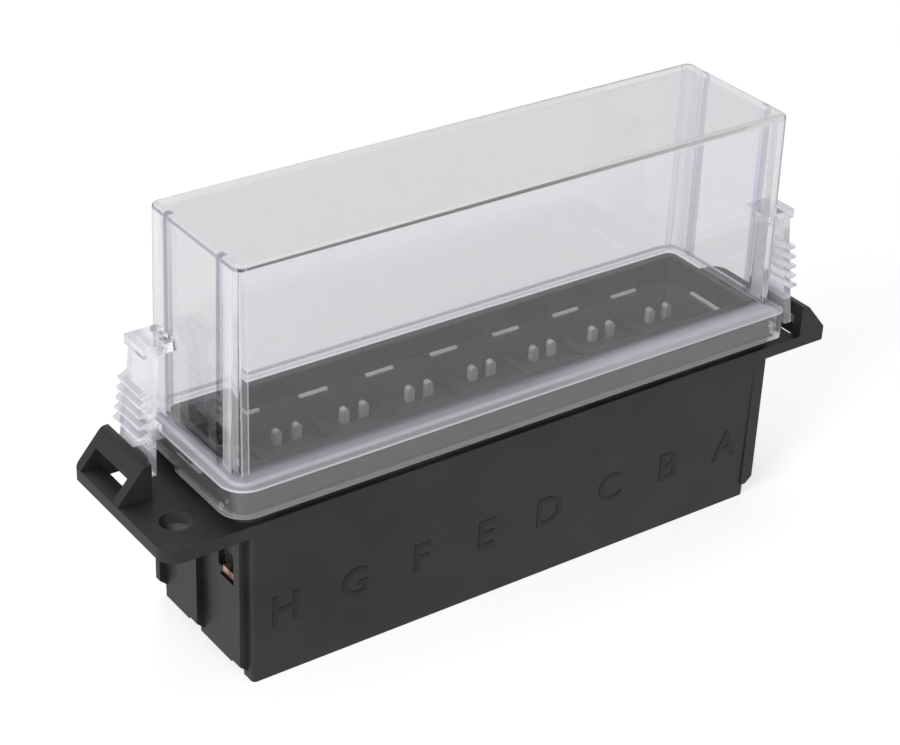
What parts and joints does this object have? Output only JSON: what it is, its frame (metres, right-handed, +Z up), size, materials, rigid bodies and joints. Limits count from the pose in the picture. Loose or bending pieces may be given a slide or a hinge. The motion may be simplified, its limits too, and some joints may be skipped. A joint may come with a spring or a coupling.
{
  "type": "fuse box",
  "caption": "Automotive fuse box: drafted black base with mounting ears and an open trough of plug-in ways, clear lift-off cover with a latch at each end.",
  "frame": {"origin": "centre of the bounding box's lower face, in the plane of the base's underside", "axes": "+X along the row of ways towards way A, +Y from the lettered front face to the back, +Z up"},
  "size_m": [0.1636, 0.0382, 0.0908],
  "materials": {
    "black_plastic": "moulded black, low sheen",
    "carrier_plastic": "moulded black, low sheen",
    "clear_plastic": "clear, polished mould",
    "copper": "bare copper strip",
    "tinned_metal": "tin plated",
    "plate_steel": "bright plated edge"
  },
  "bodies": {
    "base": {"housing": "black_plastic", "contact_carrier": "carrier_plastic", "busbar": "copper", "way_contact_a": "tinned_metal", "way_contact_b": "tinned_metal", "way_contact_c": "tinned_metal", "way_contact_d": "tinned_metal", "way_contact_e": "tinned_metal", "way_contact_f": "tinned_metal", "way_contact_g": "tinned_metal", "way_contact_h": "tinned_metal", "lock_plate_1": "plate_steel", "lock_plate_2": "plate_steel", "lock_plate_3": "plate_steel", "lock_plate_4": "plate_steel", "lock_plate_5": "plate_steel", "lock_plate_6": "plate_steel", "lock_plate_7": "plate_steel", "end_lock_plate": "plate_steel"},
    "cover": {"cover": "clear_plastic"}
  },
  "joints": [
    {"name": "cover_lift", "type": "slide", "parent": "base", "child": "cover", "axis": [0, 0, 1], "range_m": [0, 0.06]}
  ]
}
